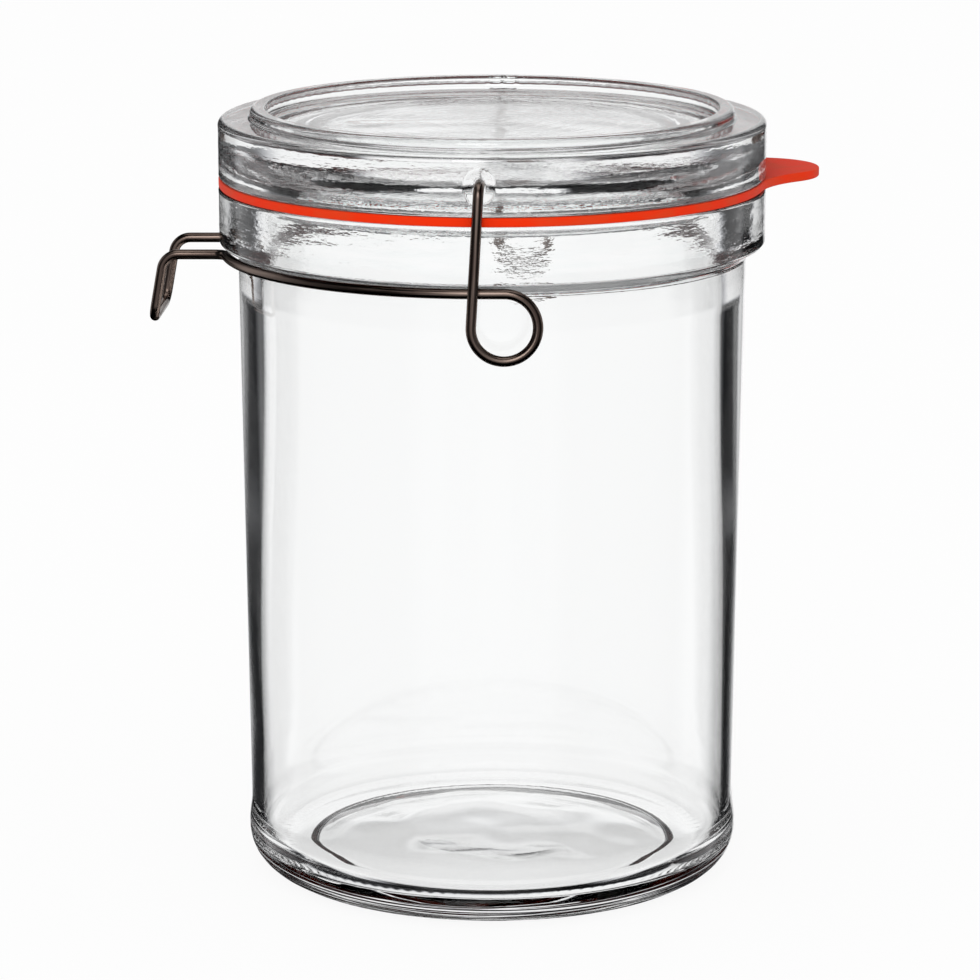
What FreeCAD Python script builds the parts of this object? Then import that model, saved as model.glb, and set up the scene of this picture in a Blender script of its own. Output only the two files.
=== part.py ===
import FreeCAD, Part
import math
import os

# Preserving jar of one litre with a glass lid, a rubber gasket and a clamping wire bail.
# Millimetres, +Z up. The origin is on the jar's axis, in the plane the jar stands on.
# The bail's lifting handle is on the -X side, and its two sockets in the lid are at -Y and +Y.

Vector = FreeCAD.Vector
axisZ = Vector(0, 0, 1)

# Glass jar
sealRadius = 56.4           # outside of the collar, the gasket and the lid
jarHeight = 144.6           # from the table to the sealing rim
collarHeight = 11.4         # side of the collar, from its lower corner to the rim
collarSlopeHeight = 2.2     # slope under the collar that the bail pulls against
rimRounding = 0.8           # outer edge of the sealing rim
rimInnerRounding = 1.2
collarCornerRounding = 0.8
neckRounding = 2.0          # hollow corner where the body meets the collar's slope
bodyTopRadius = 52.5        # outside of the body under the collar
bodyFootRadius = 51.1       # outside of the body above the heel
wallThickness = 2.5
mouthRadius = 46.5
mouthDepth = 13.0           # straight bore inside the collar
boreRounding = 4.0
shoulderHeight = 6.0        # slope from the bore out to the inner wall
shoulderRounding = 5.0
heelBead = 0.5              # the heel stands out past the body by this much
heelHeight = 10.2
heelRounding = 7.6
heelStepHeight = 0.4
heelStepRounding = 0.3
floorThickness = 5.5
innerHeelRounding = 6.0
footWidth = 5.5             # flat ring that the jar stands on, inside the heel's rounding
footRounding = 0.6
pushUpHeight = 1.6          # the base is raised inside that ring
pushUpRise = 1.2            # and domes up a little more to its middle
pushUpRounding = 1.5
domeRounding = 60.0

# Rubber gasket
gasketThickness = 1.9
gasketInset = 0.7           # from the edge of the mouth to the inside of the gasket
tabReach = 13.0             # how far the tab's tip stands out past the lid
tabEndRadius = 12.0
tabFlareRadius = 24.0       # hollow curve that leads from the ring into the tab
tabAngle = 13.8             # towards +Y from the +X axis, in degrees

# Glass lid
lidHeight = 12.0            # side of the lid, from the gasket to its shoulder
lidEdgeRounding = 1.3
lidLowerRounding = 0.8
ringRadius = 49.8           # outside of the raised ring that carries a stacked jar
ringWidth = 3.2
ringHeight = 2.25
ringRounding = 1.1
ringOuterFillet = 0.6
ringInnerFillet = 1.0
panelDrop = 0.5             # the middle of the lid lies below its shoulder
lidPlateThickness = 6.6     # glass in the middle of the lid
ribHeight = 5.2             # centring rib under the lid, below the gasket's top
ribWidth = 5.0
ribTaper = 1.0              # the rib's inner side leans in by this much up to the panel
ribInnerRounding = 1.2
ribOuterRounding = 1.4
ribRootFillet = 0.8
panelFillet = 3.0
ribClearance = 0.8          # gap between the rib and the mouth
socketHeight = 6.0          # centre of the bail's socket above the gasket
socketDepth = 4.2
dimpleRadius = 3.2
dimpleDepth = 1.6
cutterStart = 1.0           # the socket's hole is cut from this far outside the glass

# Wire bail
wireRadius = 1.03
socketClearance = 0.25
tipGap = 0.35               # from the wire's tip to the bottom of its socket
legGap = 0.5                # from the lid's side to the wire's leg
tipBendRadius = 1.9
legLean = 3.6               # the legs lean towards the handle, in degrees
loopRadius = 6.5            # spring loop, to the middle of the wire
collarClearance = 0.05      # the clamped wire all but touches the collar's slope
bailArcInset = 0.9          # from the collar's side in to the middle of the wire
clampedTurn = 0.42          # the clamped bail's handle hangs this far below level, in degrees
handleWidth = 21.0          # between the middles of the handle's two legs
handleReach = 11.6          # how far the handle stands out from the bail's arc
handleDrop = 13.3
handleLean = 10.6           # the handle's legs lean outwards, in degrees
neckBendRadius = 2.6
handleTopBendRadius = 3.6
handleLowBendRadius = 2.8
loopSteps = 8               # tangent arcs that make up one spring loop

# Radii and heights that follow from the sizes above
heelRadius = bodyFootRadius + heelBead
footInnerRadius = heelRadius - heelRounding - footWidth
gasketInnerRadius = mouthRadius + gasketInset
bailArcRadius = sealRadius - bailArcInset
collarBottom = jarHeight - collarHeight
slopeBottom = collarBottom - collarSlopeHeight
gasketTop = jarHeight + gasketThickness
lidShoulder = gasketTop + lidHeight
panelTop = lidShoulder - panelDrop
panelBottom = panelTop - lidPlateThickness
socketZ = gasketTop + socketHeight


def roundedEdges(points, radii):
    """Edges of an open path through the points, with an arc of its own radius at each corner."""
    edges = []
    start = points[0]
    for corner, after, radius in zip(points[1:-1], points[2:], radii):
        incoming = (corner - start).normalize()
        outgoing = (after - corner).normalize()
        turn = incoming.getAngle(outgoing)
        if radius <= 0 or turn < 1e-6:
            edges.append(Part.LineSegment(start, corner).toShape())
            start = corner
            continue
        setback = radius * math.tan(turn / 2)
        arcStart = corner - incoming * setback
        arcEnd = corner + outgoing * setback
        towardsCentre = (outgoing - incoming).normalize()
        centre = corner + towardsCentre * (radius / math.cos(turn / 2))
        middle = centre - towardsCentre * radius
        if (arcStart - start).Length > 1e-6:
            edges.append(Part.LineSegment(start, arcStart).toShape())
        edges.append(Part.Arc(arcStart, middle, arcEnd).toShape())
        start = arcEnd
    edges.append(Part.LineSegment(start, points[-1]).toShape())
    return edges


def turnedSolid(outline):
    """Solid of revolution from (radius, height, corner rounding) points that run from axis to axis."""
    points = [Vector(radius, 0, height) for radius, height, rounding in outline]
    radii = [rounding for radius, height, rounding in outline[1:-1]]
    edges = roundedEdges(points, radii)
    edges.append(Part.LineSegment(points[-1], points[0]).toShape())
    section = Part.Face(Part.Wire(Part.__sortEdges__(edges)))
    return section.revolve(Vector(0, 0, 0), axisZ, 360)


def makeJar():
    innerTop = bodyTopRadius - wallThickness
    innerFoot = bodyFootRadius - wallThickness
    shoulderTop = jarHeight - mouthDepth
    domeRadius = footInnerRadius / 2
    return turnedSolid([
        (0, pushUpHeight + pushUpRise, 0),
        (domeRadius, pushUpHeight + pushUpRise, domeRounding),
        (footInnerRadius - pushUpHeight, pushUpHeight, pushUpRounding),
        (footInnerRadius, 0, footRounding),
        (heelRadius, 0, heelRounding),
        (heelRadius, heelHeight, heelStepRounding),
        (bodyFootRadius, heelHeight + heelStepHeight, heelStepHeight),
        (bodyTopRadius, slopeBottom, neckRounding),
        (sealRadius, collarBottom, collarCornerRounding),
        (sealRadius, jarHeight, rimRounding),
        (mouthRadius, jarHeight, rimInnerRounding),
        (mouthRadius, shoulderTop, boreRounding),
        (innerTop, shoulderTop - shoulderHeight, shoulderRounding),
        (innerFoot, floorThickness, innerHeelRounding),
        (domeRadius, floorThickness, domeRounding),
        (0, floorThickness + pushUpRise, 0),
    ])


def arcBetween(centre, radius, startAngle, endAngle):
    """Flat arc at the height of its centre, by its angles in radians."""
    points = [
        centre + Vector(math.cos(angle), math.sin(angle), 0) * radius
        for angle in (startAngle, (startAngle + endAngle) / 2, endAngle)
    ]
    return Part.Arc(*points).toShape()


def makeGasket():
    """Ring with a pull tab: a round end, led into the ring by a hollow curve on each side."""
    endX = sealRadius + tabReach - tabEndRadius
    ringToFlare = sealRadius + tabFlareRadius
    endToFlare = tabEndRadius + tabFlareRadius
    flareX = (ringToFlare ** 2 - endToFlare ** 2 + endX ** 2) / (2 * endX)
    flareY = math.sqrt(ringToFlare ** 2 - flareX ** 2)
    ringAngle = math.atan2(flareY, flareX)
    endAngle = math.atan2(flareY, flareX - endX)
    middle = Vector(0, 0, jarHeight)
    flare = Vector(flareX, flareY, jarHeight)
    farFlare = Vector(flareX, -flareY, jarHeight)
    outline = Part.Wire(Part.__sortEdges__([
        arcBetween(middle, sealRadius, ringAngle, 2 * math.pi - ringAngle),
        arcBetween(middle + Vector(endX, 0, 0), tabEndRadius, -endAngle, endAngle),
        arcBetween(flare, tabFlareRadius, ringAngle + math.pi, endAngle + math.pi),
        arcBetween(farFlare, tabFlareRadius, math.pi - ringAngle, math.pi - endAngle),
    ]))
    ring = Part.Face(outline).extrude(axisZ * gasketThickness)
    ring.rotate(Vector(0, 0, 0), axisZ, tabAngle)
    return ring.cut(Part.makeCylinder(gasketInnerRadius, gasketThickness, middle))


def makeSocket(side):
    """Dished dimple and blind hole in the lid's side for one tip of the bail; side is -1 or +1 along Y."""
    sphereRadius = (dimpleRadius ** 2 + dimpleDepth ** 2) / (2 * dimpleDepth)
    sphereCentre = Vector(0, side * (sealRadius + sphereRadius - dimpleDepth), socketZ)
    dimple = Part.makeSphere(sphereRadius, sphereCentre)
    holeStart = Vector(0, side * (sealRadius + cutterStart), socketZ)
    holeLength = socketDepth + cutterStart
    hole = Part.makeCylinder(wireRadius + socketClearance, holeLength, holeStart, Vector(0, -side, 0))
    return dimple.fuse(hole)


def makeLid():
    ribOuter = mouthRadius - ribClearance
    ribInner = ribOuter - ribWidth
    ribBottom = gasketTop - ribHeight
    ringTop = lidShoulder + ringHeight
    ringInner = ringRadius - ringWidth
    lid = turnedSolid([
        (0, panelBottom, 0),
        (ribInner - ribTaper, panelBottom, panelFillet),
        (ribInner, ribBottom, ribInnerRounding),
        (ribOuter, ribBottom, ribOuterRounding),
        (ribOuter, gasketTop, ribRootFillet),
        (sealRadius, gasketTop, lidLowerRounding),
        (sealRadius, lidShoulder, lidEdgeRounding),
        (ringRadius, lidShoulder, ringOuterFillet),
        (ringRadius, ringTop, ringRounding),
        (ringInner, ringTop, ringRounding),
        (ringInner, panelTop, ringInnerFillet),
        (0, panelTop, 0),
    ])
    return lid.cut([makeSocket(-1), makeSocket(1)])


def arcTangentTo(start, direction, end):
    """Arc that leaves start along direction and ends at end, with the direction it ends in."""
    chord = end - start
    along = Vector(chord).normalize()
    leaving = Vector(direction).normalize()
    arriving = along * (2 * leaving.dot(along)) - leaving
    half = leaving.getAngle(along)
    bulge = (leaving - along * leaving.dot(along)).normalize()
    middle = start + chord * 0.5 + bulge * (chord.Length / 2 * math.tan(half / 2))
    return Part.Arc(start, middle, end).toShape(), arriving


def loopEdges(centreX, centreZ, startY, endY, startDirection, startAngle):
    """Three quarters of a spring turn round an axis along Y, easing from one plane to another."""
    # the loop ends at its top, at 90 degrees after a full turn
    sweep = 360 + 90 - startAngle
    edges = []
    direction = startDirection
    point = None
    for step in range(loopSteps + 1):
        share = step / loopSteps
        angle = math.radians(startAngle + sweep * share)
        eased = (1 - math.cos(math.pi * share)) / 2
        nextPoint = Vector(
            centreX + loopRadius * math.cos(angle),
            startY + (endY - startY) * eased,
            centreZ + loopRadius * math.sin(angle),
        )
        if point is not None:
            edge, direction = arcTangentTo(point, direction, nextPoint)
            edges.append(edge)
        point = nextPoint
    return edges, point


def bailHalf():
    """Middle line of the bail's -Y half, from its tip in the lid to the middle of the handle."""
    lean = math.radians(legLean)
    legY = -(sealRadius + legGap + wireRadius)
    tipY = -(sealRadius - socketDepth + tipGap)

    # the arc lies against the collar's slope, and the loop hangs from it
    slope = math.atan2(collarSlopeHeight, sealRadius - bodyTopRadius)
    slopeZ = slopeBottom + (bailArcRadius - bodyTopRadius) * math.tan(slope)
    arcZ = slopeZ - (wireRadius + collarClearance) / math.cos(slope)
    loopZ = arcZ - loopRadius

    # leg, down from the socket to where the loop starts
    startZ = loopZ + loopRadius * math.sin(lean)
    startX = -(socketZ - startZ) * math.tan(lean)
    loopX = startX + loopRadius * math.cos(lean)
    tip = Vector(0, tipY, socketZ)
    corner = Vector(0, legY, socketZ)
    loopStart = Vector(startX, legY, startZ)
    edges = roundedEdges([tip, corner, loopStart], [tipBendRadius])

    # spring loop, round and back behind the leg
    arcY = -bailArcRadius
    down = Vector(-math.sin(lean), 0, -math.cos(lean))
    turns, loopEnd = loopEdges(loopX, loopZ, legY, arcY, down, 180 - legLean)
    edges += turns
    arcStart = Vector(0, arcY, arcZ)
    edges.append(Part.LineSegment(loopEnd, arcStart).toShape())

    # arc under the collar, and the bend outwards to the handle
    halfWidth = handleWidth / 2
    bendY = halfWidth + neckBendRadius
    bendX = math.sqrt((bailArcRadius + neckBendRadius) ** 2 - bendY ** 2)
    bendAngle = math.atan2(bendY, bendX)
    arcEnd = Vector(-math.cos(bendAngle), -math.sin(bendAngle), 0) * bailArcRadius
    arcEnd.z = arcZ
    arcMiddleAngle = (bendAngle + math.pi / 2) / 2
    arcMiddle = Vector(-math.cos(arcMiddleAngle), -math.sin(arcMiddleAngle), 0) * bailArcRadius
    arcMiddle.z = arcZ
    edges.append(Part.Arc(arcStart, arcMiddle, arcEnd).toShape())
    neckEnd = Vector(-bendX, -halfWidth, arcZ)
    alongArc = Vector(-math.sin(bendAngle), math.cos(bendAngle), 0)
    neck, outwards = arcTangentTo(arcEnd, alongArc, neckEnd)
    edges.append(neck)

    # handle, out and down to its middle
    topCorner = Vector(-(bailArcRadius + handleReach), -halfWidth, arcZ)
    spread = handleDrop * math.tan(math.radians(handleLean))
    lowCorner = topCorner + Vector(-spread, 0, -handleDrop)
    handleMiddle = Vector(lowCorner.x, 0, lowCorner.z)
    corners = [neckEnd, topCorner, lowCorner, handleMiddle]
    edges += roundedEdges(corners, [handleTopBendRadius, handleLowBendRadius])
    return edges


def makeBail():
    near = bailHalf()
    far = [edge.mirror(Vector(0, 0, 0), Vector(0, 1, 0)) for edge in near]
    path = Part.Wire(Part.__sortEdges__(near + far))
    start = path.OrderedVertexes[0].Point
    side = math.copysign(1, start.y)
    section = Part.Face(Part.Wire(Part.makeCircle(wireRadius, start, Vector(0, side, 0))))
    bail = path.makePipe(section)
    bail.rotate(Vector(0, 0, socketZ), Vector(0, 1, 0), -clampedTurn)
    return bail


pieces = {
    "glass_jar": makeJar,
    "rubber_gasket": makeGasket,
    "glass_lid": makeLid,
    "wire_bail": makeBail,
}

os.makedirs("parts", exist_ok=True)
for name, make in pieces.items():
    shape = make()
    shape.Solids[0].exportStep("parts/" + name + ".step")
    print(name, "valid", shape.isValid(), "solids", len(shape.Solids), "cubic mm", round(shape.Volume))
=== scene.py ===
import math
import bpy
import numpy as np
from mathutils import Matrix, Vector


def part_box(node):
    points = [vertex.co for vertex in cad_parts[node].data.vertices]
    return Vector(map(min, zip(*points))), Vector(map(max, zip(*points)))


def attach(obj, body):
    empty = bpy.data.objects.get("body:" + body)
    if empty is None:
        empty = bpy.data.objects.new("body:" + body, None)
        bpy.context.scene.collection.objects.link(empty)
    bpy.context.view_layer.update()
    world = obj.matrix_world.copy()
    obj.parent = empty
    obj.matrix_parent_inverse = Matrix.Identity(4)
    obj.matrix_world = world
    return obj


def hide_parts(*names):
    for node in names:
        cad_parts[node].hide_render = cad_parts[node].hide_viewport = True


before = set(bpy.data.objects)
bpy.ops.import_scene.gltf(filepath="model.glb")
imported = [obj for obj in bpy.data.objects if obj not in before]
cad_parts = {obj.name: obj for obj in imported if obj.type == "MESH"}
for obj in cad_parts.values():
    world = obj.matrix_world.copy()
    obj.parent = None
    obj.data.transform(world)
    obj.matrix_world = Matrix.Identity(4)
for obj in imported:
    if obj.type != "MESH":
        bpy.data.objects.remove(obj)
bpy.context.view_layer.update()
print("frame loaded:", ", ".join(sorted(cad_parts)))

mm = 0.001
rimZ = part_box("glass_jar")[1][2] / mm  # the jar's sealing rim
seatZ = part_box("rubber_gasket")[1][2] / mm  # the lid's flange sits here, on the gasket
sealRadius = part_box("glass_jar")[1][1] / mm  # outside of the collar, the gasket and the lid
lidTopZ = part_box("glass_lid")[1][2] / mm

view = {
    "turn": 2.6,  # degrees round the jar, from straight on
    "distance": 850 * mm,
    "height": 276.9 * mm,
    "tilt": 13.07,  # degrees down
    "lens": 152.77,
    "sensor": 36,
    "shift": -0.0022,  # share of the picture's width
    "farthest": 50,
}


def addCamera():
    cameraData = bpy.data.cameras.new("camera")
    camera = bpy.data.objects.new("camera", cameraData)
    bpy.context.scene.collection.objects.link(camera)
    turn = math.radians(view["turn"])
    camera.location = (
        view["distance"] * math.sin(turn),
        -view["distance"] * math.cos(turn),
        view["height"],
    )
    camera.rotation_euler = (math.radians(90 - view["tilt"]), 0, turn)
    cameraData.lens = view["lens"]
    cameraData.sensor_width = view["sensor"]
    cameraData.shift_x = view["shift"]
    cameraData.clip_end = view["farthest"]
    bpy.context.scene.camera = camera


# A mesh from an (n, 3) array of points. Its four and three cornered faces are arrays of point numbers.
def meshFrom(name, points, quads, triangles=np.zeros((0, 3), int)):
    mesh = bpy.data.meshes.new(name)
    corners = np.concatenate([quads.ravel(), triangles.ravel()]).astype(np.int32)
    sizes = np.concatenate([np.full(len(quads), 4), np.full(len(triangles), 3)])
    starts = np.concatenate([[0], np.cumsum(sizes)[:-1]]).astype(np.int32)
    mesh.vertices.add(len(points))
    mesh.vertices.foreach_set("co", np.asarray(points, np.float32).ravel())
    mesh.loops.add(len(corners))
    mesh.loops.foreach_set("vertex_index", corners)
    mesh.polygons.add(len(sizes))
    mesh.polygons.foreach_set("loop_start", starts)
    mesh.polygons.foreach_set("use_smooth", np.ones(len(sizes), bool))
    mesh.update(calc_edges=True)
    mesh.validate()
    piece = bpy.data.objects.new(name, mesh)
    bpy.context.scene.collection.objects.link(piece)
    return piece


# Four cornered faces between neighbouring rows of a grid whose columns run round and close on themselves.
def ringFaces(rows, columns, closeRows=False):
    row = np.arange(rows if closeRows else rows - 1)[:, None]
    column = np.arange(columns)[None, :]
    nextRow = (row + 1) % rows
    nextColumn = (column + 1) % columns
    corners = [
        row * columns + column,
        row * columns + nextColumn,
        nextRow * columns + nextColumn,
        nextRow * columns + column,
    ]
    return np.stack(np.broadcast_arrays(*corners), -1).reshape(-1, 4)


# Points along a straight side, a step apart, and one close to each end so that the side shades flat.
def sidePoints(start, end, step, nearEnd):
    length = float(np.linalg.norm(end - start))
    if length < 2.5 * nearEnd:
        return np.zeros((0, 2))
    count = max(2, int(round((length - 2 * nearEnd) / step)) + 1)
    along = np.linspace(nearEnd, length - nearEnd, count)[:, None] / length
    return start + (end - start) * along


# Outline of (radius, height, rounding) corners, where a fourth number is the step on the side before.
# Each corner turns into an arc that touches both sides: the arc's arm is turned round its centre.
def roundedOutline(corners, step, nearEnd=0.25, arcStep=13):
    steps = [corner[3] if len(corner) > 3 else step for corner in corners]
    place = np.array([corner[:2] for corner in corners], float)
    roundings = [corner[2] for corner in corners]
    pieces = [place[:1]]
    start = place[0]
    for before, here, after, rounding, step in zip(place, place[1:], place[2:], roundings[1:], steps[1:]):
        into = (here - before) / np.linalg.norm(here - before)
        out = (after - here) / np.linalg.norm(after - here)
        turn = math.atan2(into[0] * out[1] - into[1] * out[0], float(into @ out))
        setback = rounding * math.tan(abs(turn) / 2)
        arcStart = here - into * setback
        centre = arcStart + np.array([-into[1], into[0]]) * math.copysign(rounding, turn)
        arm = arcStart - centre
        byAngle = math.ceil(abs(math.degrees(turn)) / arcStep)
        byLength = math.ceil(rounding * abs(turn) / step)
        angle = np.linspace(0, turn, max(2, byAngle, byLength) + 1)
        arc = np.stack([
            centre[0] + arm[0] * np.cos(angle) - arm[1] * np.sin(angle),
            centre[1] + arm[0] * np.sin(angle) + arm[1] * np.cos(angle),
        ], 1)
        pieces += [sidePoints(start, arcStart, step, nearEnd), arc]
        start = arc[-1]
    pieces += [sidePoints(start, place[-1], steps[-1], nearEnd), place[-1:]]
    return np.concatenate(pieces)


# Closed solid of revolution: an outline from axis to axis is turned through every angle. The first and
# last points are poles. moved(radius, height, angle) gives changes of radius and height over the grid.
def turnedPiece(name, outline, angles, moved):
    radius = outline[1:-1, 0][:, None] + 0 * angles[None, :]
    height = outline[1:-1, 1][:, None] + 0 * angles[None, :]
    angle = angles[None, :] + 0 * radius
    changeRadius, changeHeight = moved(radius, height, angle)
    radius = radius + changeRadius
    height = height + changeHeight
    rows, columns = radius.shape
    grid = np.stack([radius * np.cos(angle), radius * np.sin(angle), height], -1).reshape(-1, 3)
    ends = outline[[0, -1], 1]
    ends = ends + moved(0 * ends, ends, 0 * ends)[1]
    points = np.concatenate([grid, [[0, 0, ends[0]], [0, 0, ends[1]]]]) * mm
    column = np.arange(columns)
    nextColumn = (column + 1) % columns
    low = np.stack([np.full(columns, rows * columns), nextColumn, column], 1)
    lastRow = (rows - 1) * columns
    high = np.stack([lastRow + column, lastRow + nextColumn, np.full(columns, rows * columns + 1)], 1)
    return meshFrom(name, points, ringFaces(rows, columns), np.concatenate([low, high]))


# Smooth uneven surface: the mean of slow sine waves over the angle (whole turns) and over a length.
def slowWaves(angle, along, seed, turns, wavelength, count=9):
    random = np.random.default_rng(seed)
    total = np.zeros(np.broadcast(angle, along).shape)
    for wave in range(count):
        total += random.uniform(0.4, 1) * np.sin(
            random.integers(0, turns + 1) * angle
            + random.choice([-1, 1]) * 2 * math.pi * along / (wavelength * random.uniform(0.7, 2.5))
            + random.uniform(0, 2 * math.pi)
        )
    return total / count


# 1 in a number of short stretches round the axis, 0 between them.
def notches(angle, count):
    return np.cos(angle * count) > 0.7


# 0 below low, 1 above high, with a smooth step between.
def smoothStep(value, low, high):
    share = np.clip((value - low) / (high - low), 0, 1)
    return share * share * (3 - 2 * share)


jar = {
    "collarHeight": 11.4,
    "slopeHeight": 2.2,  # of the cone under the collar
    "topRadius": 52.5,
    "footRadius": 51.1,
    "wall": 2.55,
    "mouthRadius": 46.5,
    "mouthDepth": 13.0,
    "unevenTop": 12.0,  # from the rim down: here the glass has its strong streaks
    "neckHeight": 7.6,
    "neckRadius": 47.35,  # inside, where the wall is thickest
    "neckTaper": 0.15,
    "thickAbove": 94.0,  # the wall is thick above this height, thin below the next
    "thinBelow": 52.0,
    "footTaper": 0.1,
    "wallBend": 1400.0,  # the wall grows thinner along two long arcs of this radius
    "heelRadius": 51.6,
    "heelBead": (9.4, 13.4),  # heights between which the heel gives way to the body
    "heelRounding": 7.6,
    "floor": 5.5,
    "floorFillet": 4.6,
    "ringRadius": 38.5,  # inner edge of the ring that it stands on
    "ringSlope": 1.12,
    "pushUp": 1.6,
    "pushUpRise": 1.2,
    "domeInset": 6.0,  # the floor's dome starts this much nearer the middle than the one below it
    "columns": 448,
    "step": 4.0,
    "wallUneven": 0.10,
    "wallFrom": (8, 14),  # heights over which the wall's unevenness sets in
    "wallUntil": (8, 2),  # and how far under the bore it ends
    "floorUneven": 0.30,
    "floorUntil": (24, 36.5),  # radii over which the floor's unevenness ends
    "rippleDepth": 0.05,  # of the collar, from the mould
    "tickDepth": 0.2,
    "tickRadius": 44.9,  # they start here
    "ticks": 112,  # small notches round the foot
}


def addJar():
    collarZ = rimZ - jar["collarHeight"]
    slopeZ = collarZ - jar["slopeHeight"]
    boreZ = rimZ - jar["mouthDepth"]
    innerFoot = jar["footRadius"] - jar["wall"]
    domeRadius = jar["ringRadius"] / 2
    outline = roundedOutline([
        (0, jar["pushUp"] + jar["pushUpRise"], 0),
        (domeRadius, jar["pushUp"] + jar["pushUpRise"], 60),
        (jar["ringRadius"] - jar["ringSlope"], jar["pushUp"], 1.2),
        (jar["ringRadius"], 0, 0.6),
        (jar["heelRadius"], 0, jar["heelRounding"]),
        (jar["heelRadius"], jar["heelBead"][0], 8),
        (jar["footRadius"], jar["heelBead"][1], 12),
        (jar["topRadius"], slopeZ, 2.0),
        (sealRadius, collarZ, 0.8),
        (sealRadius, rimZ, 0.8, 0.4),
        (jar["mouthRadius"], rimZ, 1.2),
        (jar["mouthRadius"], boreZ, 5.0, 0.6),
        (jar["neckRadius"], boreZ - jar["neckHeight"], 55.0),
        (jar["neckRadius"] + jar["neckTaper"], jar["thickAbove"], jar["wallBend"]),
        (innerFoot + jar["footTaper"], jar["thinBelow"], jar["wallBend"]),
        (innerFoot, jar["floor"], jar["floorFillet"]),
        (jar["ringRadius"] - jar["domeInset"], jar["floor"], 60),
        (domeRadius - jar["domeInset"], jar["floor"] + jar["pushUpRise"], 90),
        (0, jar["floor"] + jar["pushUpRise"], 0),
    ], jar["step"])
    angles = np.arange(jar["columns"]) * 2 * math.pi / jar["columns"]

    # the inside of the wall, both sides of the floor, the collar and the foot are each uneven in their way
    def moved(radius, height, angle):
        insideWall = (radius > innerFoot - 3) * (radius < innerFoot + 0.6)
        insideWall = insideWall * smoothStep(height, *jar["wallFrom"])
        insideWall = insideWall * (1 - smoothStep(height, *(boreZ - drop for drop in jar["wallUntil"])))
        waves = slowWaves(angle, height, seed=3, turns=5, wavelength=40)
        changeRadius = insideWall * jar["wallUneven"] * waves
        onFloor = (height < 8) * (height > 1) * (1 - smoothStep(radius, *jar["floorUntil"]))
        x = radius * np.cos(angle)
        y = radius * np.sin(angle)
        waves = slowWaves(x / 9, y + height, seed=11, turns=2, wavelength=20)
        waves = waves + slowWaves(y / 6, x + height, seed=17, turns=2, wavelength=26)
        changeHeight = onFloor * jar["floorUneven"] * waves
        onCollar = (radius > jar["mouthRadius"] - 0.1) * smoothStep(height, collarZ + 0.6, collarZ + 2)
        onCollar = onCollar * (1 - smoothStep(height, rimZ - 2, rimZ - 0.8))
        ripple = 0.5 + 0.5 * slowWaves(angle, height, seed=29, turns=16, wavelength=2.6)
        ripple = ripple + 0.25 * slowWaves(angle, height, seed=31, turns=60, wavelength=1.5)
        changeRadius = changeRadius - onCollar * jar["rippleDepth"] * ripple
        underHeel = (height < 0.7) * (radius > jar["tickRadius"])
        changeHeight = changeHeight + underHeel * jar["tickDepth"] * notches(angle, jar["ticks"])
        return changeRadius, changeHeight

    piece = turnedPiece("jar_glass", outline, angles, moved)
    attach(piece, "jar")
    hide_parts("glass_jar")
    return piece


lid = {
    "height": 12.0,
    "ringRadius": 49.8,
    "ringWidth": 3.2,
    "panelDrop": 0.5,
    "plate": 6.6,
    "plateFillet": 6.5,  # where the plate goes over into the rib
    "ribHeight": 5.2,
    "ribWidth": 5.0,
    "ribRadius": 45.7,
    "ribDraft": 1.0,
    "socketHeight": 6.0,
    "socketDepth": 4.2,
    "socketRadius": 1.28,
    "dimpleRadius": 3.2,
    "dimpleDepth": 1.6,
    "columns": 384,
    "window": 4,  # degrees to each side of a socket that get finer columns
    "windowColumns": 48,
    "step": 0.5,
    "panelEvery": 6,  # the flat panels keep one row in this many
    "rippleDepth": 0.04,
    "plateUneven": 0.07,
    "tickDepth": 0.06,
    "ticks": 96,  # small notches round the inside of the ring
}


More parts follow.
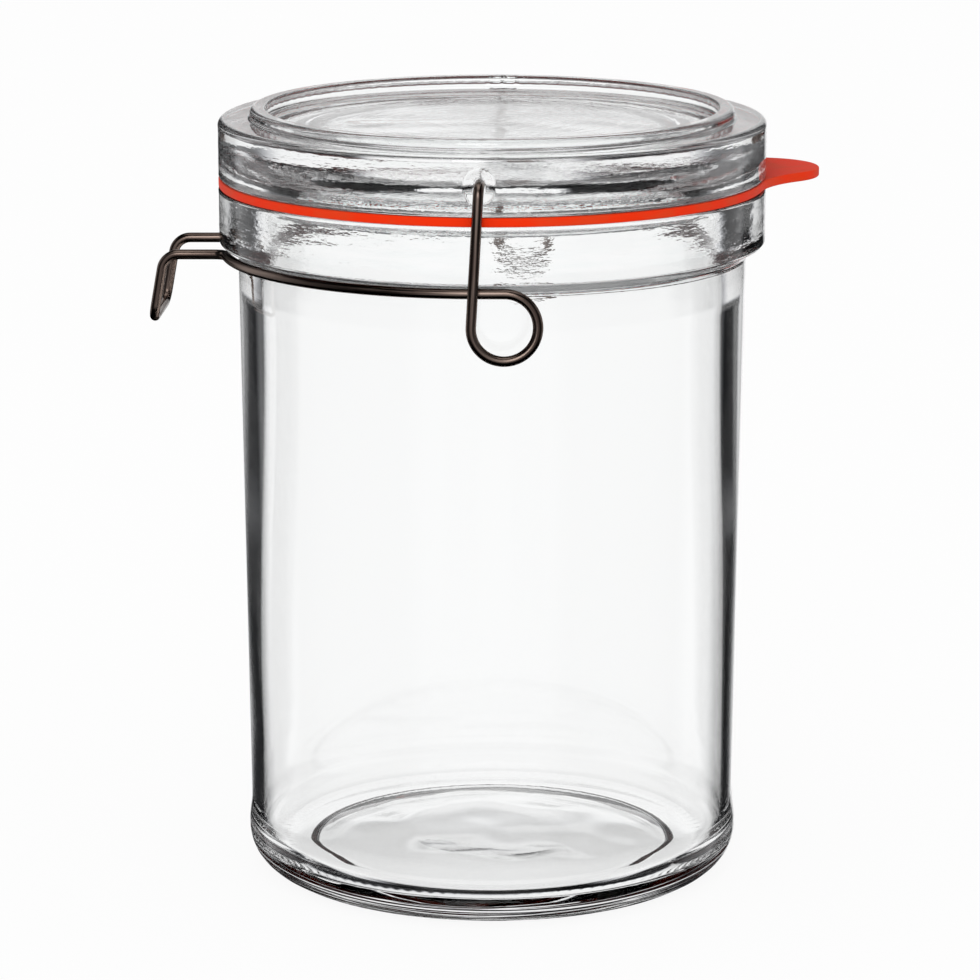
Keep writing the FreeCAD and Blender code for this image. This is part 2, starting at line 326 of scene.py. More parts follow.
def addLid():
    shoulderZ = seatZ + lid["height"]
    panelZ = shoulderZ - lid["panelDrop"]
    underZ = panelZ - lid["plate"]
    socketZ = seatZ + lid["socketHeight"]
    ribInner = lid["ribRadius"] - lid["ribWidth"]
    ringInner = lid["ringRadius"] - lid["ringWidth"]
    outline = roundedOutline([
        (0, underZ, 0),
        (ribInner - lid["ribDraft"], underZ, lid["plateFillet"]),
        (ribInner, seatZ - lid["ribHeight"], 1.2),
        (lid["ribRadius"], seatZ - lid["ribHeight"], 1.4),
        (lid["ribRadius"], seatZ, 0.8),
        (sealRadius, seatZ, 0.8),
        (sealRadius, shoulderZ, 1.3),
        (lid["ringRadius"], shoulderZ, 0.6),
        (lid["ringRadius"], lidTopZ, 1.1),
        (ringInner, lidTopZ, 0.5),
        (ringInner, panelZ, 1.0),
        (0, panelZ, 0),
    ], lid["step"])
    keep = np.ones(len(outline), bool)
    inPanel = (outline[:, 0] < ribInner - 4) & (outline[:, 0] > 0)
    keep[inPanel] = np.arange(inPanel.sum()) % lid["panelEvery"] == 0
    outline = outline[keep]
    even = np.arange(lid["columns"]) * 2 * math.pi / lid["columns"]
    window = math.radians(lid["window"])
    quarter = math.pi / 2
    nearSocket = np.abs(np.mod(even, math.pi) - quarter) < window
    fine = np.linspace(-window, window, lid["windowColumns"])
    angles = np.sort(np.concatenate([even[~nearSocket], quarter + fine, 3 * quarter + fine]))

    # Each socket is a round dish, as deep as a ball sinks in, with a straight hole in its middle. Past the
    # dishes the side is rippled, the ring is notched inside, and both faces of the plate are wavy.
    def moved(radius, height, angle):
        onSide = (radius > sealRadius - 0.6) * (height > seatZ + 1)
        reach = np.hypot(radius * np.cos(angle), height - socketZ)
        ballRadius = (lid["dimpleRadius"] ** 2 + lid["dimpleDepth"] ** 2) / (2 * lid["dimpleDepth"])
        dish = np.sqrt(np.clip(ballRadius ** 2 - reach ** 2, 0, None)) - (ballRadius - lid["dimpleDepth"])
        depth = np.clip(dish, 0, None)
        depth = np.where(reach < lid["socketRadius"], lid["socketDepth"], depth)
        changeRadius = -depth * onSide * (np.abs(np.cos(angle)) < 0.1)
        ripple = 0.5 + 0.5 * slowWaves(angle, height, seed=37, turns=16, wavelength=2.6)
        ripple = ripple + 0.2 * slowWaves(angle, height, seed=41, turns=60, wavelength=1.5)
        away = smoothStep(reach, lid["dimpleRadius"], lid["dimpleRadius"] + 1.5)
        onSide = onSide * (1 - smoothStep(height, shoulderZ - 2.5, shoulderZ - 1.2)) * away
        changeRadius = changeRadius - onSide * lid["rippleDepth"] * ripple
        onRing = (height > panelZ + 1) * (radius < ringInner + 1.2)
        changeRadius = changeRadius + onRing * lid["tickDepth"] * notches(angle, lid["ticks"])
        x = radius * np.cos(angle)
        y = radius * np.sin(angle)
        inPlate = 1 - smoothStep(radius, ribInner - 8, ribInner - 4)
        waves = slowWaves(x / 9, y, seed=43, turns=3, wavelength=16)
        waves = waves + slowWaves(y / 7, x, seed=47, turns=3, wavelength=12)
        changeHeight = inPlate * lid["plateUneven"] * (waves - 1.5) * (height > underZ - 0.5)
        return changeRadius, changeHeight

    piece = turnedPiece("lid_glass", outline, angles, moved)
    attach(piece, "jar")
    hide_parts("glass_lid")
    return piece


gasket = {
    "inset": 0.7,  # from the mouth's edge
    "tabReach": 13.0,
    "tabEnd": 12.0,
    "tabFlare": 24.0,
    "tabAngle": 13.8,  # degrees towards +Y
    "edge": 0.3,  # rounding of its edges
    "sideInset": 0.05,  # its outer edge stands this much inside the glass
    "air": 0.03,  # thin film of air between rubber and glass
    "columns": 720,
    "flatRows": 12,
    "edgeRows": 5,
}


# Outside of the ring by its angle. Near the middle of the tab it is the far side of the end circle, then
# the near side of the hollow flare circle, and past that the ring itself.
def gasketOuter(angle):
    endX = sealRadius + gasket["tabReach"] - gasket["tabEnd"]
    ringToFlare = sealRadius + gasket["tabFlare"]
    endToFlare = gasket["tabEnd"] + gasket["tabFlare"]
    flareX = (ringToFlare ** 2 - endToFlare ** 2 + endX ** 2) / (2 * endX)
    flareY = math.sqrt(ringToFlare ** 2 - flareX ** 2)
    flareAngle = math.atan2(flareY, flareX)
    towardsFlare = np.array([flareX - endX, flareY]) / endToFlare
    meetAngle = math.atan2(gasket["tabEnd"] * towardsFlare[1], endX + gasket["tabEnd"] * towardsFlare[0])
    offset = np.abs(np.mod(angle - math.radians(gasket["tabAngle"]) + math.pi, 2 * math.pi) - math.pi)
    endHalf = np.clip(gasket["tabEnd"] ** 2 - (endX * np.sin(offset)) ** 2, 0, None)
    endPart = endX * np.cos(offset) + np.sqrt(endHalf)
    fromFlare = offset - flareAngle
    flareHalf = np.clip(gasket["tabFlare"] ** 2 - (ringToFlare * np.sin(fromFlare)) ** 2, 0, None)
    flarePart = ringToFlare * np.cos(fromFlare) - np.sqrt(flareHalf)
    return np.where(offset < meetAngle, endPart, np.where(offset < flareAngle, flarePart, sealRadius))


# The ring's section is a flat bar with rounded edges: bottom, outer edge, top and inner edge, row by row.
def addGasket():
    inner = jar["mouthRadius"] + gasket["inset"]
    low = rimZ + gasket["air"]
    high = seatZ - gasket["air"]
    angle = np.arange(gasket["columns"]) * 2 * math.pi / gasket["columns"]
    outer = gasketOuter(angle)[None, :] - gasket["sideInset"]
    edge = gasket["edge"]
    quarter = np.linspace(0, math.pi / 2, gasket["edgeRows"])[:, None]
    flat = np.linspace(0, 1, gasket["flatRows"])[:, None]
    bottomRow = inner + edge + (outer - inner - 2 * edge) * flat
    radius = np.concatenate([
        bottomRow,
        outer - edge + edge * np.sin(quarter[1:]),
        outer - edge + edge * np.cos(quarter[:-1]),
        bottomRow[::-1],
        inner + edge - edge * np.sin(quarter[1:]) + 0 * outer,
        inner + edge - edge * np.cos(quarter[:-1]) + 0 * outer,
    ])
    height = np.concatenate([
        low + 0 * flat,
        low + edge - edge * np.cos(quarter[1:]),
        high - edge + edge * np.sin(quarter[:-1]),
        high + 0 * flat,
        high - edge + edge * np.cos(quarter[1:]),
        low + edge - edge * np.sin(quarter[:-1]),
    ]) + 0 * outer
    angle = angle[None, :] + 0 * radius
    points = np.stack([radius * np.cos(angle), radius * np.sin(angle), height], -1).reshape(-1, 3) * mm
    piece = meshFrom("gasket_rubber", points, ringFaces(*radius.shape, closeRows=True))
    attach(piece, "jar")
    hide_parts("rubber_gasket")
    return piece


bail = {
    "wire": 1.03,  # radius
    "legGap": 0.5,  # between the leg and the lid's side
    "tipBend": 1.9,
    "tipGap": 0.35,  # from the bottom of the socket
    "lean": 3.6,  # degrees
    "loop": 6.5,
    "arcInset": 0.9,  # its middle line runs this much inside the collar's side
    "turn": 0.42,  # degrees below level
    "handleWidth": 21.0,
    "handleReach": 11.6,
    "handleDrop": 13.3,
    "handleLean": 10.6,
    "neckBend": 2.6,
    "topBend": 3.6,
    "lowBend": 2.8,
    "collarClearance": 0.05,
    "sides": 24,
    "step": 0.45,
    "loopSteps": 90,
    "arcSteps": 160,
}


# Points of an arc that leaves start along a direction and ends at end: a circle through both.
def arcPoints(start, direction, end):
    chord = end - start
    length = np.linalg.norm(chord)
    along = chord / length
    leaving = direction / np.linalg.norm(direction)
    half = math.acos(float(np.clip(leaving @ along, -1, 1)))
    across = leaving - along * (leaving @ along)
    across = across / np.linalg.norm(across)
    radius = length / (2 * math.sin(half))
    centre = start + along * length / 2 - across * radius * math.cos(half)
    count = max(3, math.ceil(2 * half * radius / bail["step"]))
    angle = np.linspace(-half, half, count + 1)[:, None]
    return centre + radius * (across * np.cos(angle) + along * np.sin(angle))


# A path through corners, each one rounded by its own radius.
def bentPath(corners, radii):
    pieces = [corners[0][None, :]]
    for before, here, after, radius in zip(corners, corners[1:], corners[2:], radii):
        into = (here - before) / np.linalg.norm(here - before)
        out = (after - here) / np.linalg.norm(after - here)
        setback = radius * math.tan(math.acos(float(into @ out)) / 2)
        pieces.append(arcPoints(here - into * setback, into, here + out * setback))
    pieces.append(corners[-1][None, :])
    return np.concatenate(pieces)


# Middle line of the bail's half at -Y: tip, leg, spring loop, arc under the collar, neck and handle.
def bailHalf():
    collarZ = rimZ - jar["collarHeight"]
    slopeZ = collarZ - jar["slopeHeight"]
    socketZ = seatZ + lid["socketHeight"]
    lean = math.radians(bail["lean"])
    arcRadius = sealRadius - bail["arcInset"]
    legY = -(sealRadius + bail["legGap"] + bail["wire"])
    tipY = -(sealRadius - lid["socketDepth"] + bail["tipGap"])
    slope = math.atan2(jar["slopeHeight"], sealRadius - jar["topRadius"])
    arcZ = slopeZ + (arcRadius - jar["topRadius"]) * math.tan(slope)
    arcZ -= (bail["wire"] + bail["collarClearance"]) / math.cos(slope)
    loopZ = arcZ - bail["loop"]
    startZ = loopZ + bail["loop"] * math.sin(lean)
    startX = -(socketZ - startZ) * math.tan(lean)
    loopX = startX + bail["loop"] * math.cos(lean)
    leg = bentPath(
        [np.array([0, tipY, socketZ]), np.array([0, legY, socketZ]), np.array([startX, legY, startZ])],
        [bail["tipBend"]],
    )

    # three quarters of a turn, moving in from the leg to the arc on the way
    share = np.linspace(0, 1, bail["loopSteps"] + 1)[1:]
    angle = math.pi - lean + (1.5 * math.pi + lean) * share
    loop = np.stack([
        loopX + bail["loop"] * np.cos(angle),
        legY + (-arcRadius - legY) * (1 - np.cos(math.pi * share)) / 2,
        loopZ + bail["loop"] * np.sin(angle),
    ], 1)

    halfWidth = bail["handleWidth"] / 2
    bendY = halfWidth + bail["neckBend"]
    bendX = math.sqrt((arcRadius + bail["neckBend"]) ** 2 - bendY ** 2)
    bendAngle = math.atan2(bendY, bendX)
    angle = np.linspace(math.pi / 2, bendAngle, bail["arcSteps"])
    arc = np.stack([-arcRadius * np.cos(angle), -arcRadius * np.sin(angle), arcZ + 0 * angle], 1)
    neckEnd = np.array([-bendX, -halfWidth, arcZ])
    neck = arcPoints(arc[-1], np.array([-math.sin(bendAngle), math.cos(bendAngle), 0]), neckEnd)
    topCorner = np.array([-(arcRadius + bail["handleReach"]), -halfWidth, arcZ])
    outward = bail["handleDrop"] * math.tan(math.radians(bail["handleLean"]))
    lowCorner = topCorner - [outward, 0, bail["handleDrop"]]
    handle = bentPath(
        [neckEnd, topCorner, lowCorner, lowCorner * [1, 0, 1]],
        [bail["topBend"], bail["lowBend"]],
    )
    return np.concatenate([leg, loop, arc, neck[1:], handle[1:]]), socketZ


# Tube: a circle carried along a path. Its frame is turned from point to point by the least angle.
def tubeAlong(name, path, radius, sides):
    ahead = np.gradient(path, axis=0)
    ahead = ahead / np.linalg.norm(ahead, axis=1)[:, None]
    normal = np.zeros_like(path)
    normal[0] = (1, 0, 0)
    for i in range(1, len(path)):
        carried = normal[i - 1] - ahead[i] * (normal[i - 1] @ ahead[i])
        normal[i] = carried / np.linalg.norm(carried)
    binormal = np.cross(ahead, normal)
    angle = np.arange(sides) * 2 * math.pi / sides
    cosine = np.cos(angle)[None, :, None]
    sine = np.sin(angle)[None, :, None]
    grid = path[:, None, :] + radius * (normal[:, None, :] * cosine + binormal[:, None, :] * sine)
    rows = len(path)
    points = np.concatenate([grid.reshape(-1, 3), path[:1], path[-1:]]) * mm
    column = np.arange(sides)
    nextColumn = (column + 1) % sides
    first = np.stack([np.full(sides, rows * sides), nextColumn, column], 1)
    lastRow = (rows - 1) * sides
    last = np.stack([lastRow + column, lastRow + nextColumn, np.full(sides, rows * sides + 1)], 1)
    piece = meshFrom(name, points, ringFaces(rows, sides), np.concatenate([first, last]))
    # where each point is round the wire and along it, in metres, for the drawn lines
    length = np.concatenate([[0], np.cumsum(np.linalg.norm(np.diff(path, axis=0), axis=1))])
    run = np.stack([
        radius * np.cos(angle) + 0 * length[:, None],
        radius * np.sin(angle) + 0 * length[:, None],
        length[:, None] + 0 * angle,
    ], -1).reshape(-1, 3)
    run = np.concatenate([run, [[0, 0, 0], [0, 0, length[-1]]]]) * mm
    attribute = piece.data.attributes.new("run", "FLOAT_VECTOR", "POINT")
    attribute.data.foreach_set("vector", run.astype(np.float32).ravel())
    return piece


# Both halves, turned a little about the line through the sockets.
def addBail():
    half, socketZ = bailHalf()
    otherHalf = half[::-1][1:] * [1, -1, 1]
    path = np.concatenate([half, otherHalf])
    turn = math.radians(bail["turn"])
    drop = path - [0, 0, socketZ]
    path = np.stack([
        drop[:, 0] * math.cos(turn) - drop[:, 2] * math.sin(turn),
        drop[:, 1],
        drop[:, 0] * math.sin(turn) + drop[:, 2] * math.cos(turn),
    ], 1) + [0, 0, socketZ]
    piece = tubeAlong("bail_wire", path, bail["wire"], bail["sides"])
    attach(piece, "bail")
    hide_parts("wire_bail")
    return piece


def newMaterial(name):
    material = bpy.data.materials.new(name)
    material.use_nodes = True
    nodes = material.node_tree.nodes
    links = material.node_tree.links
    shader = nodes["Principled BSDF"]
    return material, nodes, links, shader


# A node group. Its inputs and outputs are given as (name, socket type, value).
def newGroup(name, inputs, outputs):
    group = bpy.data.node_groups.new(name, "ShaderNodeTree")
    for label, kind, value in inputs:
        socket = group.interface.new_socket(name=label, in_out="INPUT", socket_type=kind)
        socket.default_value = value
    for label, kind in outputs:
        group.interface.new_socket(name=label, in_out="OUTPUT", socket_type=kind)
    return group, group.nodes.new("NodeGroupInput"), group.nodes.new("NodeGroupOutput")


# Sets or links what goes into a node: numbers and colours are set, sockets are linked.
def feed(links, node, **values):
    for label, value in values.items():
        socket = node.inputs[label.replace("_", " ")]
        if isinstance(value, bpy.types.NodeSocket):
            links.new(value, socket)
        else:
            socket.default_value = value


def calculate(nodes, links, operation, first, second=0.0, clamp=False):
    node = nodes.new("ShaderNodeMath")
    node.operation = operation
    node.use_clamp = clamp
    for socket, value in zip(node.inputs, (first, second)):
        if isinstance(value, bpy.types.NodeSocket):
            links.new(value, socket)
        else:
            socket.default_value = value
    return node.outputs[0]


# One colour where share is 0, the other where it is 1.
def mixColours(nodes, links, share, first, second):
    mix = nodes.new("ShaderNodeMix")
    mix.data_type = "RGBA"
    mix.inputs[6].default_value = first
    mix.inputs[7].default_value = second
    links.new(share, mix.inputs["Factor"])
    return mix.outputs[2]


def addBump(nodes, links, shader, height, strength, depth):
    bump = nodes.new("ShaderNodeBump")
    feed(links, bump, Strength=strength, Distance=depth, Height=height)
    links.new(bump.outputs[0], shader.inputs["Normal"])


# Streaks and grain at a place: two noises, drawn out by their own stretch, give a height and a mask.
def streakGroup():
    group, given, result = newGroup(
        "streaksAndGrain",
        [
            ("Place", "NodeSocketVector", (0, 0, 0)),
            ("Streaks", "NodeSocketVector", (60, 60, 600)),  # per metre, each way
            ("Grain", "NodeSocketVector", (900, 900, 900)),
            ("Grain Share", "NodeSocketFloat", 0.3),
            ("Seed", "NodeSocketFloat", 0.0),
        ],
        [("Height", "NodeSocketFloat"), ("Mask", "NodeSocketFloat")],
    )
    nodes = group.nodes
    links = group.links
    noises = []
    for label, detail in (("Streaks", 3.0), ("Grain", 2.0)):
        stretched = nodes.new("ShaderNodeVectorMath")
        stretched.operation = "MULTIPLY"
        links.new(given.outputs["Place"], stretched.inputs[0])
        links.new(given.outputs[label], stretched.inputs[1])
        noise = nodes.new("ShaderNodeTexNoise")
        noise.noise_dimensions = "4D"
        feed(links, noise, Vector=stretched.outputs[0], W=given.outputs["Seed"], Scale=1.0, Detail=detail)
        noises.append(noise.outputs["Fac"])
    grain = calculate(nodes, links, "MULTIPLY", noises[1], given.outputs["Grain Share"])
    patch = nodes.new("ShaderNodeTexNoise")
    patch.noise_dimensions = "4D"
    feed(links, patch, Vector=given.outputs["Place"], W=given.outputs["Seed"], Scale=30.0, Detail=1.0)
    strength = nodes.new("ShaderNodeMapRange")
    strength.interpolation_type = "SMOOTHSTEP"
    feed(links, strength, Value=patch.outputs["Fac"], From_Min=0.38, From_Max=0.62, To_Min=0.3)
    uneven = calculate(nodes, links, "ADD", noises[0], grain)
    links.new(calculate(nodes, links, "MULTIPLY", uneven, strength.outputs[0]), result.inputs["Height"])
    mask = nodes.new("ShaderNodeMapRange")
    mask.interpolation_type = "SMOOTHSTEP"
    feed(links, mask, Value=noises[0], From_Min=0.42, From_Max=0.62)
    links.new(mask.outputs[0], result.inputs["Mask"])
    return group


def addStreaks(nodes, links, group, place, seed, **values):
    node = nodes.new("ShaderNodeGroup")
    node.node_tree = group
    feed(links, node, Place=place, Seed=seed, **values)
    return node.outputs["Height"], node.outputs["Mask"]


glass = {
    "clear": (0.996, 0.999, 0.998, 1),
    "tint": (0.972, 0.985, 0.984, 1),  # where the glass is a little greener
    "index": 1.52,
    "wallShare": 0.02,  # how uneven the body is, against the collar and the lid
    "fade": 6 * mm,  # height over which it changes
    "grainShare": 0.35,
    # streaks and grain per metre, each way, and how deep they are
    "jar": {"streaks": (90, 90, 600), "grain": (650, 650, 1900), "depth": 0.10 * mm, "seed": 0.0},
    "lid": {"streaks": (60, 60, 500), "grain": (600, 600, 1700), "depth": 0.09 * mm, "seed": 8.0},
}


# Pressed glass: clear, with drawn streaks and fine sparkle that are strong above a height.
def pressedGlass(name, group, finish, strongFrom):
    material, nodes, links, shader = newMaterial(name)
    place = nodes.new("ShaderNodeTexCoord").outputs["Object"]
    split = nodes.new("ShaderNodeSeparateXYZ")
    links.new(place, split.inputs[0])
    # height and distance from the axis together, so that the streaks run round the flat faces too
    across = calculate(nodes, links, "MULTIPLY", split.outputs["X"], split.outputs["X"])
    along = calculate(nodes, links, "MULTIPLY", split.outputs["Y"], split.outputs["Y"])
    radius = calculate(nodes, links, "SQRT", calculate(nodes, links, "ADD", across, along))
    circling = nodes.new("ShaderNodeCombineXYZ")
    links.new(split.outputs["X"], circling.inputs[0])
    links.new(split.outputs["Y"], circling.inputs[1])
    links.new(calculate(nodes, links, "ADD", split.outputs["Z"], radius), circling.inputs[2])
    height, mask = addStreaks(
        nodes, links, group, circling.outputs[0], finish["seed"],
        Streaks=finish["streaks"], Grain=finish["grain"], Grain_Share=glass["grainShare"],
    )
    strong = nodes.new("ShaderNodeMapRange")
    feed(
        links, strong, Value=split.outputs["Z"], From_Min=strongFrom - glass["fade"], From_Max=strongFrom,
        To_Min=glass["wallShare"], To_Max=1.0,
    )
    height = calculate(nodes, links, "MULTIPLY", height, strong.outputs[0])
    addBump(nodes, links, shader, height, 1.0, finish["depth"])
    tinted = calculate(nodes, links, "MULTIPLY", mask, strong.outputs[0])
    colour = mixColours(nodes, links, tinted, glass["clear"], glass["tint"])
    links.new(colour, shader.inputs["Base Color"])
    shader.inputs["Roughness"].default_value = 0
    shader.inputs["IOR"].default_value = glass["index"]
    shader.inputs["Transmission Weight"].default_value = 1
    return material


rubber = {
    "colour": (0.83, 0.030, 0.0015, 1),
    "worn": (0.74, 0.046, 0.008, 1),
    "streaks": (120, 120, 240),
    "grain": (3200, 3200, 3200),
    "grainShare": 0.8,
    "seed": 2.0,
    "depth": 0.05 * mm,
    "strength": 0.35,
    "roughness": 0.7,
    "shine": 0.05,
    "haze": 0.08,
}


def orangeRubber(group):
    material, nodes, links, shader = newMaterial("orange_rubber")
    place = nodes.new("ShaderNodeTexCoord").outputs["Object"]
    height, mask = addStreaks(
        nodes, links, group, place, rubber["seed"],
        Streaks=rubber["streaks"], Grain=rubber["grain"], Grain_Share=rubber["grainShare"],
    )
    colour = mixColours(nodes, links, mask, rubber["colour"], rubber["worn"])
    links.new(colour, shader.inputs["Base Color"])
    addBump(nodes, links, shader, height, rubber["strength"], rubber["depth"])
    shader.inputs["Roughness"].default_value = rubber["roughness"]
    shader.inputs["Specular IOR Level"].default_value = rubber["shine"]
    shader.inputs["Sheen Weight"].default_value = rubber["haze"]
    return material


wire = {
    "dark": (0.10, 0.070, 0.058, 1),
    "light": (0.33, 0.25, 0.21, 1),
    "streaks": (1500, 1500, 40),  # long lines from drawing the wire
    "grain": (5000, 5000, 600),
    "grainShare": 0.5,
    "seed": 5.0,
    "depth": 0.02 * mm,
    "strength": 0.5,
    "roughness": (0.20, 0.38),
}


def darkWire(group):
    material, nodes, links, shader = newMaterial("dark_wire")
    run = nodes.new("ShaderNodeAttribute")
    run.attribute_name = "run"
    height, mask = addStreaks(
        nodes, links, group, run.outputs["Vector"], wire["seed"],
        Streaks=wire["streaks"], Grain=wire["grain"], Grain_Share=wire["grainShare"],
    )
    colour = mixColours(nodes, links, mask, wire["dark"], wire["light"])
    links.new(colour, shader.inputs["Base Color"])
    rough = nodes.new("ShaderNodeMapRange")
    feed(links, rough, Value=mask, To_Min=wire["roughness"][0], To_Max=wire["roughness"][1])
    links.new(rough.outputs[0], shader.inputs["Roughness"])
    addBump(nodes, links, shader, height, wire["strength"], wire["depth"])
    shader.inputs["Metallic"].default_value = 1
    return material


def paint(piece, material):
    piece.data.materials.clear()
    piece.data.materials.append(material)


studio = {
    "floor": 3.0,  # metres from its middle to its sides
    "floorColour": (0.95, 0.95, 0.95, 1),
    "floorRoughness": 0.9,
    "shadow": 0.08,  # how much of the shadow on the floor shows
    "hidden": 0.07,  # light that reaches the rubber and the wire through the glass
    "soft": (0.13, 0.72, 0.8),  # light on them: from all round, more from the front, more from above
    "ceiling": (15, 26),  # degrees up over which the white seen through the glass ends
    "dark": 0.04,
    # How bright the room is that the glass mirrors within itself, by degrees to the right of straight
    # behind the jar. Two dark flags stand beside the white wall: the glass gathers them in its edges.
    "lookDown": [
        (-180, 0.9), (-54, 0.95), (-46, 0.02), (-19, 0.02), (-12, 0.92), (14, 1.0), (19, 0.01),
        (46, 0.01), (54, 0.95), (180, 0.9),
    ],
    "lookUp": [
        (-180, 0.6), (-110, 0.5), (-88, 0.7), (-76, 0.1), (-46, 0.1), (-34, 0.95), (34, 0.98),
        (46, 0.06), (76, 0.06), (88, 0.7), (110, 0.5), (180, 0.6),
    ],
    "upAbove": (-4.5, -2.5),  # degrees up over which the first of them gives way to the second
    # The same for what mirrors the room on its outside
    "outside": [
        (-180, 0.55), (-155, 0.5), (-140, 0.08), (-85, 0.08), (-72, 0.7), (-52, 0.8), (-45, 0.02),
        (-15, 0.02), (-9, 0.95), (12, 0.95), (17, 0.02), (45, 0.02), (52, 0.8), (72, 0.7), (85, 0.08),
        (140, 0.08), (155, 0.5), (180, 0.55),
    ],
    # Degrees up over which the wall ends, with the dark ceiling over it and the dark ground under it
    "top": (13, 19),
    "outsideTop": (30, 38),
    "bottom": (-68, -56),
    "outsideBottom": (-26, -20),
    "boxAbove": (64, 68),  # soft box overhead
    "darkTint": (0.92, 0.94, 1.0, 1),  # colour of what is dark in the room
    "lampPlace": (-0.1, -1.4, 0.8),
    "lampSize": (0.5, 0.9),
    "lampPower": 5,
    "bounces": 24,
    "glossyBounces": 12,
}


# White where the camera sees it, but for a share of the shadow.
def addFloor():
    half = studio["floor"]
    points = np.array([[-half, -half, 0], [half, -half, 0], [half, half, 0], [-half, half, 0]])
    floor = meshFrom("floor", points - [0, 0, 0.02 * mm], np.array([[0, 1, 2, 3]]))
    material, nodes, links, shader = newMaterial("floor")
    shader.inputs["Base Color"].default_value = studio["floorColour"]
    shader.inputs["Roughness"].default_value = studio["floorRoughness"]
    shader.inputs["Specular IOR Level"].default_value = 0
    white = nodes.new("ShaderNodeEmission")
    mix = nodes.new("ShaderNodeMixShader")
    path = nodes.new("ShaderNodeLightPath")
    seen = calculate(nodes, links, "MULTIPLY", path.outputs["Is Camera Ray"], 1 - studio["shadow"])
    links.new(seen, mix.inputs["Fac"])
    links.new(shader.outputs[0], mix.inputs[1])
    links.new(white.outputs[0], mix.inputs[2])
    links.new(mix.outputs[0], nodes["Material Output"].inputs["Surface"])
    paint(floor, material)
    floor.visible_transmission = False
    floor.visible_glossy = False


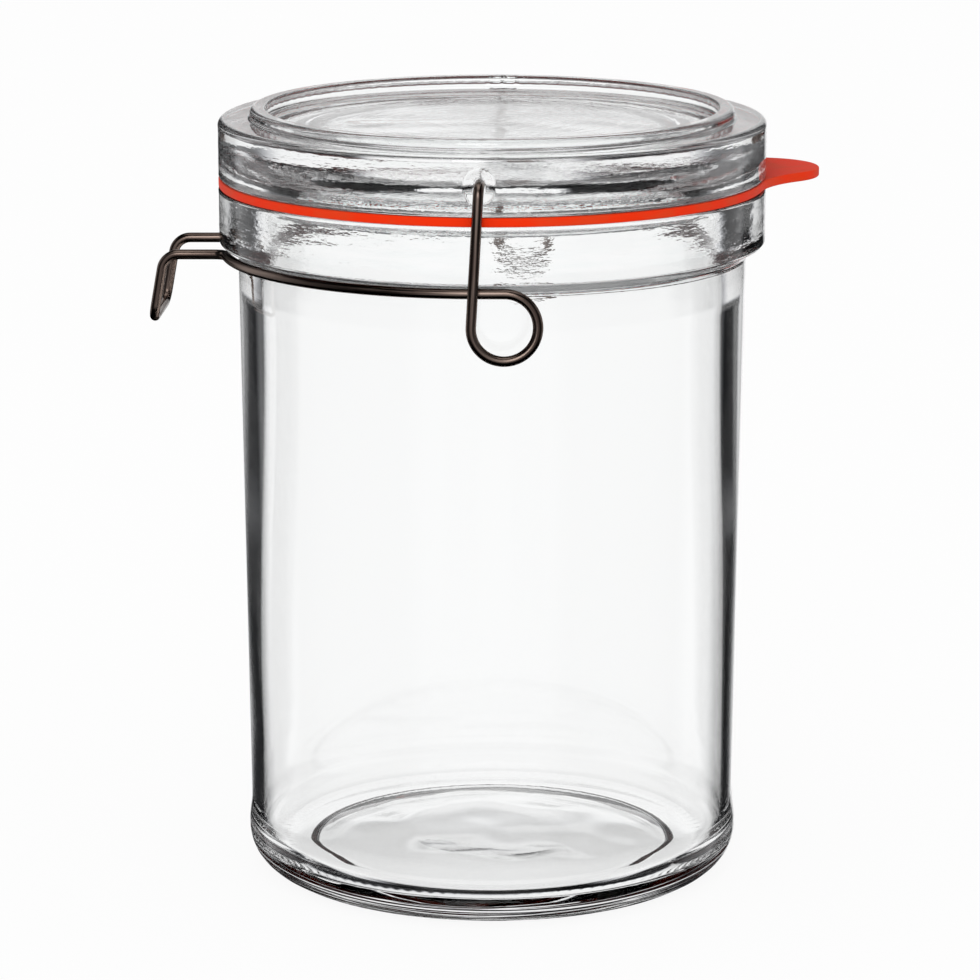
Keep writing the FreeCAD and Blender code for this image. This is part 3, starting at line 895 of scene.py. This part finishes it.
# The room: white behind whatever is clear. What the glass and the wire reflect is a dark room with a
# bright wall behind the jar, a softer light in front, two tall boxes at the sides and one overhead.
def addRoom():
    world = bpy.data.worlds.new("room")
    bpy.context.scene.world = world
    world.use_nodes = True
    nodes = world.node_tree.nodes
    links = world.node_tree.links
    nodes.clear()

    def work(operation, first, second=0.0, clamp=False):
        return calculate(nodes, links, operation, first, second, clamp)

    def blend(share, first, second):
        ofFirst = work("MULTIPLY", work("SUBTRACT", 1.0, share), first)
        return work("ADD", ofFirst, work("MULTIPLY", share, second))

    direction = nodes.new("ShaderNodeSeparateXYZ")
    links.new(nodes.new("ShaderNodeTexCoord").outputs["Generated"], direction.inputs[0])
    right, back, up = direction.outputs
    turn = work("ADD", work("DIVIDE", work("ARCTAN2", right, back), 2 * math.pi), 0.5)

    def byTurn(stops):
        ramp = nodes.new("ShaderNodeValToRGB")
        ramp.color_ramp.interpolation = "EASE"
        while len(ramp.color_ramp.elements) < len(stops):
            ramp.color_ramp.elements.new(0.5)
        for element, (degrees, level) in zip(ramp.color_ramp.elements, stops):
            element.position = 0.5 + degrees / 360
            element.color = (level, level, level, 1)
        links.new(turn, ramp.inputs["Fac"])
        return ramp.outputs["Color"]

    def byRise(fromTo):
        low, high = (math.sin(math.radians(degrees)) for degrees in fromTo)
        share = nodes.new("ShaderNodeMapRange")
        share.interpolation_type = "SMOOTHSTEP"
        feed(links, share, Value=up, From_Min=low, From_Max=high)
        return share.outputs[0]

    def wall(level, bottom, top):
        level = work("MULTIPLY", level, byRise(studio[bottom]))
        level = work("MULTIPLY", level, work("SUBTRACT", 1.0, byRise(studio[top])))
        return work("MAXIMUM", level, byRise(studio["boxAbove"]))

    inside = blend(byRise(studio["upAbove"]), byTurn(studio["lookDown"]), byTurn(studio["lookUp"]))
    inside = wall(inside, "bottom", "top")
    outside = wall(byTurn(studio["outside"]), "outsideBottom", "outsideTop")
    path = nodes.new("ShaderNodeLightPath")
    entered = work("GREATER_THAN", path.outputs["Transmission Depth"], 0.5)
    mirrored = blend(entered, outside, inside)

    # white straight through the glass, unless it has turned the view up to the ceiling
    reflected = work("GREATER_THAN", path.outputs["Glossy Depth"], 0.5)
    scattered = work("GREATER_THAN", path.outputs["Diffuse Depth"], 0.5)
    through = work("MULTIPLY", path.outputs["Is Transmission Ray"], work("SUBTRACT", 1.0, reflected))
    clear = work("MAXIMUM", path.outputs["Is Camera Ray"], through)
    ceiling = work("MULTIPLY", byRise(studio["ceiling"]), through)
    seen = blend(clear, mirrored, blend(ceiling, 1.0, studio["dark"]))

    # soft light on the rubber, little of it where it comes through the glass
    allRound, front, above = studio["soft"]
    forward = work("MAXIMUM", work("MULTIPLY", back, -1.0), 0.0)
    soft = work("ADD", allRound, work("MULTIPLY", forward, front))
    soft = work("ADD", soft, work("MULTIPLY", work("MAXIMUM", up, 0.0), above))
    matt = blend(path.outputs["Is Diffuse Ray"], studio["hidden"], soft)
    pale = work("MAXIMUM", seen, scattered, clamp=True)
    colour = mixColours(nodes, links, pale, studio["darkTint"], (1, 1, 1, 1))
    background = nodes.new("ShaderNodeBackground")
    links.new(blend(scattered, seen, matt), background.inputs["Strength"])
    links.new(colour, background.inputs["Color"])
    output = nodes.new("ShaderNodeOutputWorld")
    links.new(background.outputs[0], output.inputs["Surface"])


# A soft lamp in front, aimed at the jar.
def addLamp():
    lampData = bpy.data.lights.new("front_lamp", "AREA")
    lampData.shape = "RECTANGLE"
    lampData.size, lampData.size_y = studio["lampSize"]
    lampData.energy = studio["lampPower"]
    lamp = bpy.data.objects.new("front_lamp", lampData)
    bpy.context.scene.collection.objects.link(lamp)
    lamp.location = studio["lampPlace"]
    aim = np.array([0, 0, 100 * mm]) - np.array(studio["lampPlace"])
    lamp.rotation_euler = (
        math.atan2(math.hypot(aim[0], aim[1]), -aim[2]),
        0,
        math.atan2(aim[1], aim[0]) - math.pi / 2,
    )
    lamp.visible_camera = False
    lamp.visible_transmission = False


addCamera()
streaks = streakGroup()
paint(addJar(), pressedGlass("jar_glass_finish", streaks, glass["jar"], (rimZ - jar["unevenTop"]) * mm))
paint(addLid(), pressedGlass("lid_glass_finish", streaks, glass["lid"], (seatZ - lid["ribHeight"]) * mm))
print("glass made")
paint(addGasket(), orangeRubber(streaks))
paint(addBail(), darkWire(streaks))
print("gasket and bail made")
addFloor()
addRoom()
addLamp()
scene = bpy.context.scene
scene.view_settings.view_transform = "Standard"
scene.cycles.max_bounces = studio["bounces"]
scene.cycles.transmission_bounces = studio["bounces"]
scene.cycles.glossy_bounces = studio["glossyBounces"]
print("room made")
